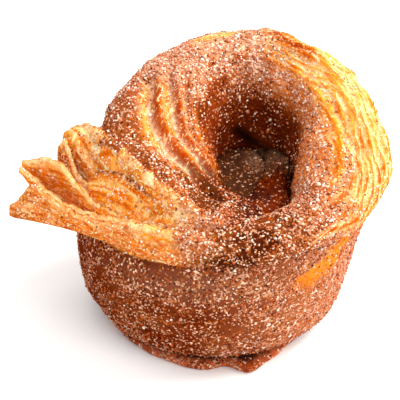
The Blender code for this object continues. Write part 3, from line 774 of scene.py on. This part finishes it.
def wall_look(phi, up, p):
    """Colour and sugar of the body's side, at plan angles, shares of its height and points."""
    worn = step(-0.2, 0.9, noise(p, 9.0, 71) + 0.3 * noise(p, 3.0, 72))
    base = over(BROWN * 0.85, TOP_CRUST * 0.7, worn)
    base = base * (1 + 0.2 * noise(p, 4.0, 73) + 0.15 * noise(p, 1.4, 74))[..., None]
    sugar = 0.52 + 0.45 * noise(p, 5.0, 75) + 0.25 * noise(p, 2.2, 76)

    # bare orange patch at the front right, under the brow, in slanting streaks
    turn = np.mod(phi + 180, 360) - 180
    patch = bell(turn + 46 - 50 * (up - 0.80), 12) * bell(up - 0.82, 0.20)
    slanting = np.stack([0.75 * turn - p[..., 2], (0.75 * turn + p[..., 2]) * 0.2, 0 * up], -1)
    torn = noise(slanting, 1.3, 77) + 0.5 * noise(p, 0.9, 78) + 1.1 * (patch - 0.55)
    patch = step(0.15, 0.55, patch) * step(-0.45, 0.10, torn)
    base = over(base, ORANGE * [1.0, 0.95, 1.2], patch * (0.75 + 0.25 * noise(p, 1.5, 79)))
    sugar = sugar * (1 - 0.65 * patch)

    # greyer and more sugared under the brow at the front; towards the right paler, pinker and more sugared,
    # partly painted light
    dusted = bell(up - 0.82, 0.14) * bell(turn + 98, 34)
    base = over(base, PINK_CRUST * [0.75, 0.95, 1.2], dusted * 0.45)
    right = span(turn, -100, -30, 20, 80)
    base = over(base, PINK_CRUST, right * (1 - patch) * 0.85)
    # painted shade: the side darker away from the right
    base = base * mix(0.80, 1.0, right)[..., None]
    sugar = sugar * (1 + 1.0 * dusted) * mix(0.55, 1.6, right)

    # painted shade: near black in the crease over the foot, and darker under the brow
    crease = step(0.045, 0.0, up)
    base = over(base, DARK, crease * 0.9)
    sugar = sugar * (1 - crease)
    under = step(0.95, 1.0, up)
    base = over(base, DARK * 1.6, under * 0.5)
    return np.clip(base, 0, 1), np.clip(sugar * (1 - 0.6 * under), 0, 1)


def sheet_looks(number, side, p, depth, s):
    """Looks of points along one side of a fanned layer, at depths under its edge and lengths along it."""
    edge_pale, outside, inside, sugared = FAN_LOOKS[number]
    upper = number > 3
    face = outside if side > 0 else inside
    # face colour from deep to orange: the deep share is painted shade in the pockets between layers
    tint = mix(mix(DEEP, ORANGE, face), PINK_CRUST, 0.5 * (side > 0) * sugared)
    tint = tint[None] * (1 + 0.2 * noise(p, 3.0, 83) + 0.15 * noise(p * [0.4, 0.4, 2.0], 1.5, 84))[:, None]
    tint = over(tint, ORANGE * [1.0, 1.15, 1.5], step(3.6, 1.0, depth) * edge_pale * 0.9)

    # torn places, darker and paler
    torn = noise(p * [0.35, 0.35, 1.5], 1.7, 87) + 0.5 * noise(p, 1.0, 88)
    tint = tint * mix(1.0, 0.72, step(0.05, -0.35, torn) * FAN_TORN[number])[:, None]
    pale = step(0.16, 0.34, torn) * FAN_TORN[number] * (1.0 if side > 0 else 0.6)
    tint = over(tint, mix(YELLOW, CREAM, 0.6), pale)

    # pale upper edge
    rim = step(0.9, 0.2, depth) * edge_pale * (0.85 + 0.5 * noise(p, 1.6, 85))
    rim = rim * mix(0.6, 1, step(-15, 12, s)) * (1.0 if side > 0 or upper else 0.35)
    if upper:
        rim = rim * step(-0.3, 0.5, fan_waves(p) + 0.4 * noise(p, 2.5, 23))
    tint = over(tint, mix(YELLOW, CREAM, 0.55), np.clip(rim, 0, 1))

    # sugared crust at the root, and over the inner side of the last layer
    root = step(-14, -26, s) if upper else step(-6, -15, s + 3 * noise(p, 2.5, 89))
    tint = over(tint, ROOT_CRUST, 0.9 * root)
    if number == len(FAN) - 1 and side < 0:
        tint = mix(tint, ROOT_CRUST, 0.85)
        sugared = 0.9
    sugar = mix(sugared, 1.0, root) * (0.9 + 0.4 * noise(p, 3.0, 86))
    return looks_of(np.clip(tint, 0, 1), np.clip(sugar, 0, 1), p[:, 2] + 2 * side, s, 0.9 - 0.6 * root)


def fan_sheet(number, stations, levels):
    """One layer of the fanned end as a closed blade: points, faces and looks."""
    radius, leave, root, tip, bow, keys = FAN[number]
    s = np.linspace(keys[0][0], keys[-1][0], stations)
    low, high = keyed(keys, s).T
    ripple = 0.28 * np.sin(s * 0.9 + number * 2.1) + 0.18 * np.sin(s * 2.3 + number)
    high = high + ripple
    turn = np.radians(leave) - np.minimum(s, 0) / radius
    run = np.maximum(s, 0)
    far = np.clip(run / keys[-1][0], 0, 1)
    out = np.stack([np.cos(turn), np.sin(turn)], -1)
    ahead = np.array([np.sin(np.radians(leave)), -np.cos(np.radians(leave))])
    path = np.array([FAN_X, FAN_Y]) + radius * out + run[:, None] * ahead
    buried = step(keys[0][0] + 20, keys[0][0], s)
    path = path - out * (bow * np.sin(np.pi * far) + FAN_BURIED * buried)[:, None]
    thick = mix(root, tip, far) * mix(0.45, 1.0, step(1.0, 0.93, far)) * mix(1.0, 0.3, buried) / 2

    # rows of points up the outer side and down the inner one
    up = np.linspace(0, 1, levels)**0.8
    rows, looks = [], []
    for side, order in ((1, up), (-1, up[::-1])):
        for t in order:
            z = mix(low, high, t)
            narrow = mix(1.0, 0.6, step(0.6, 1.0, t))
            lean = -0.05 * (z - low)
            at = path + out * (side * thick * narrow + lean)[:, None]
            slant = FAN_SLANT * side * thick * step(0.6, 1.0, t)
            p = np.column_stack([at, z - slant])
            rough = 0.22 * noise(p * [0.5, 0.5, 1.6], 1.3, 81 + number) + 0.12 * noise(p, 0.9, 82)
            p[:, :2] += out * (side * rough * step(1.0, 0.9, far) * step(0.0, 0.15, t))[:, None]
            rows.append(p)
            looks.append(sheet_looks(number, side, p, high - z, s))
    points = np.stack(rows, 1).reshape(-1, 3)
    looks = np.stack(looks, 1).reshape(-1, 7)

    ring = len(rows)
    faces = []
    for i in range(stations - 1):
        for j in range(ring):
            k = (j + 1) % ring
            faces.append([i * ring + j, i * ring + k, (i + 1) * ring + k, (i + 1) * ring + j])
    for i, flip in ((0, 1), (stations - 1, -1)):
        for j in range(levels - 1):
            loop = [i * ring + j, i * ring + ring - 1 - j, i * ring + ring - 2 - j, i * ring + j + 1]
            faces.append(loop[::flip])
    return points, faces, looks


def make_object(name, points, faces):
    """Mesh object in metres, faces out."""
    mesh = bpy.data.meshes.new(name)
    mesh.from_pydata((points * MM).tolist(), [], faces)
    bm = bmesh.new()
    bm.from_mesh(mesh)
    if bm.calc_volume(signed=True) < 0:
        bmesh.ops.reverse_faces(bm, faces=bm.faces)
    bm.to_mesh(mesh)
    bm.free()
    obj = bpy.data.objects.new(name, mesh)
    bpy.context.scene.collection.objects.link(obj)
    return obj


def keep_skin(obj):
    """Only the largest closed skin stays."""
    bm = bmesh.new()
    bm.from_mesh(obj.data)
    left, shells = set(bm.faces), []
    while left:
        front = [left.pop()]
        shell = list(front)
        while front:
            near = [f for e in front.pop().edges for f in e.link_faces if f in left]
            for f in near:
                if f in left:
                    left.discard(f)
                    shell.append(f)
                    front.append(f)
        shells.append(shell)
    shells.sort(key=len)
    for shell in shells[:-1]:
        bmesh.ops.delete(bm, geom=shell, context="FACES")
    bm.to_mesh(obj.data)
    bm.free()


def join_solids(target, others):
    """One union of a collection into the target, applied; the helpers are removed."""
    group = bpy.data.collections.new("joined")
    bpy.context.scene.collection.children.link(group)
    for obj in others:
        bpy.context.scene.collection.objects.unlink(obj)
        group.objects.link(obj)
    union = target.modifiers.new("union", "BOOLEAN")
    union.operation = "UNION"
    union.operand_type = "COLLECTION"
    union.collection = group
    union.solver = "MANIFOLD"
    bpy.context.view_layer.update()
    joined = bpy.data.meshes.new_from_object(target.evaluated_get(bpy.context.evaluated_depsgraph_get()))
    target.modifiers.clear()
    target.data = joined
    for obj in others:
        bpy.data.objects.remove(obj, do_unlink=True)
    bpy.data.collections.remove(group)


def vertex_array(mesh):
    """Vertices as an array of points."""
    co = np.empty(len(mesh.vertices) * 3)
    mesh.vertices.foreach_get("co", co)
    return co.reshape(-1, 3)


def paint(obj, points, looks):
    """Colours and sugar of the nearest modelled point, as attributes of the joined skin."""
    tree = KDTree(len(points))
    for i, p in enumerate((points * MM).tolist()):
        tree.insert(p, i)
    tree.balance()
    near = [tree.find(v)[1] for v in vertex_array(obj.data).tolist()]
    look = looks[near]
    tint = obj.data.color_attributes.new("tint", "FLOAT_COLOR", "POINT")
    rgba = np.column_stack([np.clip(look[:, :3], 0, 1), np.ones(len(look))])
    tint.data.foreach_set("color", rgba.ravel())
    for k, name in enumerate(("sugar", "across", "along", "flaky"), 3):
        values = obj.data.attributes.new(name, "FLOAT", "POINT")
        values.data.foreach_set("value", look[:, k].copy())
    return look[:, 3], look[:, 6]


# ------------------------------------------------------------------ node helpers
def new_material(name):
    mat = bpy.data.materials.new(name)
    mat.use_nodes = True
    tree = mat.node_tree
    return mat, tree, tree.nodes["Principled BSDF"]


def node(tree, kind, **values):
    n = tree.nodes.new(kind)
    for key, value in values.items():
        if key in n.inputs:
            n.inputs[key].default_value = value
        else:
            setattr(n, key, value)
    return n


def noise_at(tree, size, detail=2.0, rough=0.6):
    """Noise texture with bumps of a size in mm."""
    where = tree.nodes.get("Texture Coordinate") or tree.nodes.new("ShaderNodeTexCoord")
    n = node(tree, "ShaderNodeTexNoise", Scale=1 / (size * MM), Detail=detail, Roughness=rough)
    tree.links.new(where.outputs["Object"], n.inputs["Vector"])
    return n.outputs["Fac"]


def cells_at(tree, size):
    """Cells of a size in mm, each with its own colour."""
    where = tree.nodes.get("Texture Coordinate") or tree.nodes.new("ShaderNodeTexCoord")
    n = node(tree, "ShaderNodeTexVoronoi", Scale=1 / (size * MM))
    tree.links.new(where.outputs["Object"], n.inputs["Vector"])
    return n


def band(tree, source, low, high, to_low=0.0, to_high=1.0):
    """A value from low to high mapped to a range, and held at its ends."""
    n = node(tree, "ShaderNodeMapRange")
    n.inputs["From Min"].default_value = low
    n.inputs["From Max"].default_value = high
    n.inputs["To Min"].default_value = to_low
    n.inputs["To Max"].default_value = to_high
    tree.links.new(source, n.inputs["Value"])
    return n.outputs["Result"]


def maths(tree, operation, a, b, clamp=True):
    n = node(tree, "ShaderNodeMath", operation=operation, use_clamp=clamp)
    for k, v in enumerate((a, b)):
        if isinstance(v, (int, float)):
            n.inputs[k].default_value = v
        else:
            tree.links.new(v, n.inputs[k])
    return n.outputs[0]


def times(tree, a, b, clamp=True):
    return maths(tree, "MULTIPLY", a, b, clamp)


def blend(tree, fac, a, b, mode="MIX"):
    """Colour a with b laid over it, as strongly as fac says."""
    n = node(tree, "ShaderNodeMix", data_type="RGBA", blend_type=mode)
    for value, socket in ((fac, n.inputs[0]), (a, n.inputs[6]), (b, n.inputs[7])):
        if isinstance(value, (int, float)):
            socket.default_value = value
        elif isinstance(value, tuple):
            socket.default_value = (*value, 1.0)
        else:
            tree.links.new(value, socket)
    return n.outputs[2]


def read_from(tree, name, output="Fac"):
    """Value or colour that paint() kept on the mesh."""
    return node(tree, "ShaderNodeAttribute", attribute_name=name).outputs[output]


def streak_noise(tree, across, lengthways):
    """Noise drawn out along the strip."""
    where = node(tree, "ShaderNodeCombineXYZ")
    tree.links.new(times(tree, across, 0.85, clamp=False), where.inputs[0])
    tree.links.new(times(tree, lengthways, 0.13, clamp=False), where.inputs[1])
    streak = node(tree, "ShaderNodeTexNoise", Scale=1.0, Detail=4.0, Roughness=0.65)
    tree.links.new(where.outputs[0], streak.inputs["Vector"])
    return streak.outputs["Fac"]


def crust_material():
    mat, tree, bsdf = new_material("crust")
    tint = read_from(tree, "tint", "Color")
    sugar = read_from(tree, "sugar")
    flaky = read_from(tree, "flaky")
    layered = band(tree, flaky, 0.3, 0.8)
    crusty = maths(tree, "SUBTRACT", 1.1, flaky)

    # streaks of thin layers along the strip
    streak = streak_noise(tree, read_from(tree, "across"), read_from(tree, "along"))
    dark_streak = times(tree, band(tree, streak, 0.52, 0.58, 0.0, 0.75), layered)
    pale_streak = times(tree, band(tree, streak, 0.42, 0.37, 0.0, 0.80), layered)
    colour = blend(tree, dark_streak, tint, blend(tree, 1.0, tint, (0.80, 0.36, 0.14), "MULTIPLY"))
    colour = blend(tree, pale_streak, colour, blend(tree, 0.8, colour, (1.0, 0.80, 0.46)))

    # torn crumbs of the bare layers, paler and darker
    crumb = noise_at(tree, 1.0, 3.0, 0.7)
    dark_crumb = times(tree, band(tree, crumb, 0.45, 0.40, 0.0, 0.55), layered)
    pale_crumb = times(tree, band(tree, crumb, 0.59, 0.62, 0.0, 0.60), layered)
    colour = blend(tree, dark_crumb, colour, blend(tree, 1.0, colour, (0.88, 0.46, 0.16), "MULTIPLY"))
    colour = blend(tree, pale_crumb, colour, blend(tree, 0.8, colour, (1.0, 0.80, 0.48)))

    # blotches and burnt specks
    blotch = band(tree, noise_at(tree, 1.1, 3.0, 0.7), 0.3, 0.7, 0.60, 1.30)
    grey = node(tree, "ShaderNodeCombineColor")
    for k in range(3):
        tree.links.new(blotch, grey.inputs[k])
    colour = blend(tree, 0.7, colour, grey.outputs[0], "MULTIPLY")
    speck = times(tree, band(tree, noise_at(tree, 0.55, 2.0), 0.56, 0.70, 0.0, 0.75), crusty)
    colour = blend(tree, speck, colour, blend(tree, 1.0, colour, (0.34, 0.20, 0.16), "MULTIPLY"))

    # finest sugar, melted on in clumps: pale grains, and warm and dark gaps between them
    chance = node(tree, "ShaderNodeSeparateColor")
    tree.links.new(cells_at(tree, 0.58).outputs["Color"], chance.inputs[0])
    clump = times(tree, band(tree, noise_at(tree, 1.9, 2.0), 0.36, 0.62, 0.14, 0.64), sugar)
    pale_grain = maths(tree, "LESS_THAN", chance.outputs[0], clump)
    white_grain = maths(tree, "LESS_THAN", chance.outputs[0], times(tree, clump, 0.25))
    dark_gap = maths(tree, "LESS_THAN", chance.outputs[1], times(tree, times(tree, sugar, crusty), 0.14))
    warm_gap = maths(tree, "LESS_THAN", chance.outputs[2], times(tree, sugar, 0.35))
    colour = blend(tree, warm_gap, colour, blend(tree, 0.35, colour, (0.62, 0.14, 0.008)))
    colour = blend(tree, dark_gap, colour, blend(tree, 1.0, colour, (0.32, 0.22, 0.25), "MULTIPLY"))
    grain = blend(tree, layered, (0.62, 0.30, 0.16), (1.0, 0.62, 0.24))
    colour = blend(tree, times(tree, pale_grain, 0.8), colour, grain)
    colour = blend(tree, white_grain, colour, (0.86, 0.56, 0.41))
    tree.links.new(colour, bsdf.inputs["Base Color"])

    # dull, rough surface
    tree.links.new(band(tree, noise_at(tree, 0.8), 0.3, 0.7, 0.45, 0.75), bsdf.inputs["Roughness"])
    bsdf.inputs["Specular IOR Level"].default_value = 0.0
    height = maths(tree, "ADD", noise_at(tree, 0.6, 4.0, 0.7), times(tree, streak, flaky), False)
    height = maths(tree, "ADD", height, times(tree, pale_grain, 0.4), False)
    bump = node(tree, "ShaderNodeBump", Strength=1.0, Distance=0.35 * MM)
    tree.links.new(height, bump.inputs["Height"])
    tree.links.new(bump.outputs["Normal"], bsdf.inputs["Normal"])
    return mat


def sugar_material(name, colour, shade):
    mat, tree, bsdf = new_material(name)
    fac = band(tree, noise_at(tree, 0.6, 1.0), 0.35, 0.65)
    tree.links.new(blend(tree, fac, colour, shade), bsdf.inputs["Base Color"])
    bsdf.inputs["Roughness"].default_value = 0.35
    bsdf.inputs["Specular IOR Level"].default_value = 0.3
    return mat


# ------------------------------------------------------------------ sugar grains
# kind: colour, second colour, grain size in mm, grains to a square cm of the strip and of the body,
# and the share of them on bare layers and in the hollow
SUGAR = [("sugar_white", (0.93, 0.80, 0.70), (0.84, 0.60, 0.46), 0.36, 46, 9, 1.2, 0.05),
         ("sugar_pink", (0.64, 0.31, 0.19), (0.50, 0.20, 0.10), 0.38, 70, 44, 0.1, 0.22),
         ("sugar_amber", (0.55, 0.11, 0.008), (0.40, 0.06, 0.004), 0.36, 66, 90, 0.3, 0.5),
         ("sugar_brown", (0.14, 0.022, 0.007), (0.08, 0.012, 0.004), 0.34, 18, 20, 0.0, 0.9),
         ("sugar_dust", (0.68, 0.37, 0.24), (0.54, 0.24, 0.12), 0.27, 76, 70, 0.1, 0.38)]
MOST_GRAINS = 16600
HOLLOW_X, HOLLOW_Y = 12.0, 6.0        # middle of the hollow
CORNERS = np.array([(x, y, z) for x in (-1, 1) for y in (-1, 1) for z in (-1, 1)], float)
SIDES = np.array([(0, 1, 3, 2), (4, 6, 7, 5), (0, 4, 5, 1), (2, 3, 7, 6), (0, 2, 6, 4), (1, 5, 7, 3)])


def turned(rng, count):
    """Random rotation matrices."""
    q = rng.normal(size=(count, 4))
    w, x, y, z = (q / np.linalg.norm(q, axis=1, keepdims=True)).T
    return np.stack([1 - 2 * (y * y + z * z), 2 * (x * y - z * w), 2 * (x * z + y * w),
                     2 * (x * y + z * w), 1 - 2 * (x * x + z * z), 2 * (y * z - x * w),
                     2 * (x * z - y * w), 2 * (y * z + x * w), 1 - 2 * (x * x + y * y)], -1).reshape(-1, 3, 3)


def box_mesh(name, corners):
    """Many closed six-sided grains as one mesh."""
    count = len(corners)
    mesh = bpy.data.meshes.new(name)
    mesh.vertices.add(count * 8)
    mesh.vertices.foreach_set("co", corners.ravel())
    mesh.loops.add(count * 24)
    loops = (np.arange(count)[:, None, None] * 8 + SIDES[None]).ravel()
    mesh.loops.foreach_set("vertex_index", loops)
    mesh.polygons.add(count * 6)
    mesh.polygons.foreach_set("loop_start", np.arange(count * 6) * 4)
    mesh.update(calc_edges=True)
    mesh.validate()
    return mesh


def grain_mesh(name, size, p, normal, rng):
    """Grains of a size in mm, one on each triangle given, uneven and turned at random."""
    count = len(p)
    b = rng.random((count, 2))
    b = np.where(b.sum(1, keepdims=True) > 1, 1 - b, b)
    at = p[:, 0] + (p[:, 1] - p[:, 0]) * b[:, :1] + (p[:, 2] - p[:, 0]) * b[:, 1:]
    half = size * MM / 2 * np.exp(0.28 * rng.normal(size=(count, 1))) * rng.uniform(0.75, 1.2, (count, 3))
    corners = np.einsum("nij,nkj->nki", turned(rng, count), CORNERS[None] * half[:, None, :])
    at = at + normal * half.mean(1, keepdims=True) * rng.uniform(0.0, 0.7, (count, 1))
    return box_mesh(name, corners + at[:, None, :])


def scatter(bun, sugar, flaky):
    """Grains over the crust, thicker where it is sugared, one piece for each kind."""
    mesh = bun.data
    mesh.calc_loop_triangles()
    tri = np.empty(len(mesh.loop_triangles) * 3, int)
    mesh.loop_triangles.foreach_get("vertices", tri)
    tri = tri.reshape(-1, 3)
    p = vertex_array(mesh)[tri]
    normal = np.cross(p[:, 1] - p[:, 0], p[:, 2] - p[:, 0])
    area = np.linalg.norm(normal, axis=1)
    normal = normal / np.maximum(area, 1e-12)[:, None]
    middle = p.mean(1)

    # share of grains on each triangle: sugared, not on the underside, and in clumps
    where = sugar[tri].mean(1) * (middle[:, 2] > 1.0 * MM) * (normal[:, 2] > -0.75)
    clumps = 0.75 + 0.8 * noise(middle / MM, 1.8, 91) + 0.5 * noise(middle / MM, 6.0, 92)
    where = where * np.clip(clumps, 0.04, 2)
    on_strip = step(0.040, 0.046, middle[:, 2])
    bare = np.clip((flaky[tri].mean(1) - 0.3) / 0.5, 0, 1)
    hollow = step(20, 16, np.hypot(middle[:, 0] / MM - HOLLOW_X, middle[:, 1] / MM - HOLLOW_Y))
    hollow = hollow * step(66, 58, middle[:, 2] / MM)

    made = []
    for number, (name, colour, shade, size, top, side, on_bare, in_hollow) in enumerate(SUGAR):
        rng = np.random.default_rng(100 + number)
        chance = area / 2 * 1e4 * where * mix(side, top, on_strip)
        chance = chance * mix(1, on_bare, bare) * mix(1, in_hollow, hollow)
        count = min(int(chance.sum()), MOST_GRAINS)
        chosen = rng.choice(len(tri), count, p=chance / chance.sum())
        obj = bpy.data.objects.new(name, grain_mesh(name, size, p[chosen], normal[chosen], rng))
        bpy.context.scene.collection.objects.link(obj)
        obj.data.materials.append(sugar_material(name, colour, shade))
        made.append(obj)
    return made


# ------------------------------------------------------------------ stage
def area_light(name, at, aim, size, watts, colour):
    """Round soft light at a place, turned to what it lights."""
    light = bpy.data.lights.new(name, "AREA")
    light.shape = "DISK"
    light.size = size
    light.energy = watts
    light.color = colour
    obj = bpy.data.objects.new(name, light)
    obj.location = at
    obj.rotation_euler = (Vector(aim) - Vector(at)).to_track_quat("-Z", "Y").to_euler()
    bpy.context.scene.collection.objects.link(obj)


def stage():
    """Pale floor, white surroundings, three soft lights and the camera at the photo's angle."""
    mesh = bpy.data.meshes.new("floor")
    mesh.from_pydata([(-3, -3, 0), (3, -3, 0), (3, 3, 0), (-3, 3, 0)], [], [(0, 1, 2, 3)])
    floor = bpy.data.objects.new("floor", mesh)
    bpy.context.scene.collection.objects.link(floor)
    mat, _, bsdf = new_material("floor")
    bsdf.inputs["Base Color"].default_value = (0.92, 0.92, 0.92, 1)
    bsdf.inputs["Roughness"].default_value = 0.8
    mesh.materials.append(mat)

    world = bpy.data.worlds.new("studio")
    world.use_nodes = True
    world.node_tree.nodes["Background"].inputs["Color"].default_value = (1.0, 1.0, 1.0, 1)
    world.node_tree.nodes["Background"].inputs["Strength"].default_value = 0.88
    bpy.context.scene.world = world
    area_light("key", (0.62, 0.20, 0.66), (0.01, 0.0, 0.045), 0.60, 12.5, (1.0, 0.97, 0.92))
    area_light("top", (-0.30, -0.05, 0.85), (-0.03, 0.0, 0.045), 0.50, 3.0, (1.0, 0.98, 0.95))
    area_light("fill", (0.60, -0.50, 0.34), (0.0, 0.0, 0.04), 0.60, 3.0, (1.0, 0.97, 0.94))

    camera = bpy.data.objects.new("camera", bpy.data.cameras.new("camera"))
    camera.data.lens = 168.5
    camera.data.sensor_width = 36.0
    camera.location = (0.0, -0.4854, 0.3527)
    aim = Vector((-0.0048, 0.0181, 0.0249))
    camera.rotation_euler = (aim - camera.location).to_track_quat("-Z", "Y").to_euler()
    camera.data.clip_start = 0.01
    bpy.context.scene.collection.objects.link(camera)
    bpy.context.scene.camera = camera
    bpy.context.scene.view_settings.view_transform = "Standard"


def main():
    parts = [coil_mesh(STATIONS, ACROSS, WALL_ROWS, FLOOR_ROWS, UNDER_ROWS)]
    parts += [fan_sheet(k, FAN_STATIONS, FAN_LEVELS) for k in range(len(FAN))]
    bun = make_object("crust", *parts[0][:2])
    sheets = [make_object("layer%d" % k, *part[:2]) for k, part in enumerate(parts[1:])]
    join_solids(bun, sheets)
    keep_skin(bun)
    bun.data.shade_smooth()
    sugar, flaky = paint(bun, np.vstack([part[0] for part in parts]), np.vstack([part[2] for part in parts]))
    bun.data.materials.clear()
    bun.data.materials.append(crust_material())
    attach(bun, "root")
    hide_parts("bun")
    for grains in scatter(bun, sugar, flaky):
        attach(grains, "root")
    stage()


main()
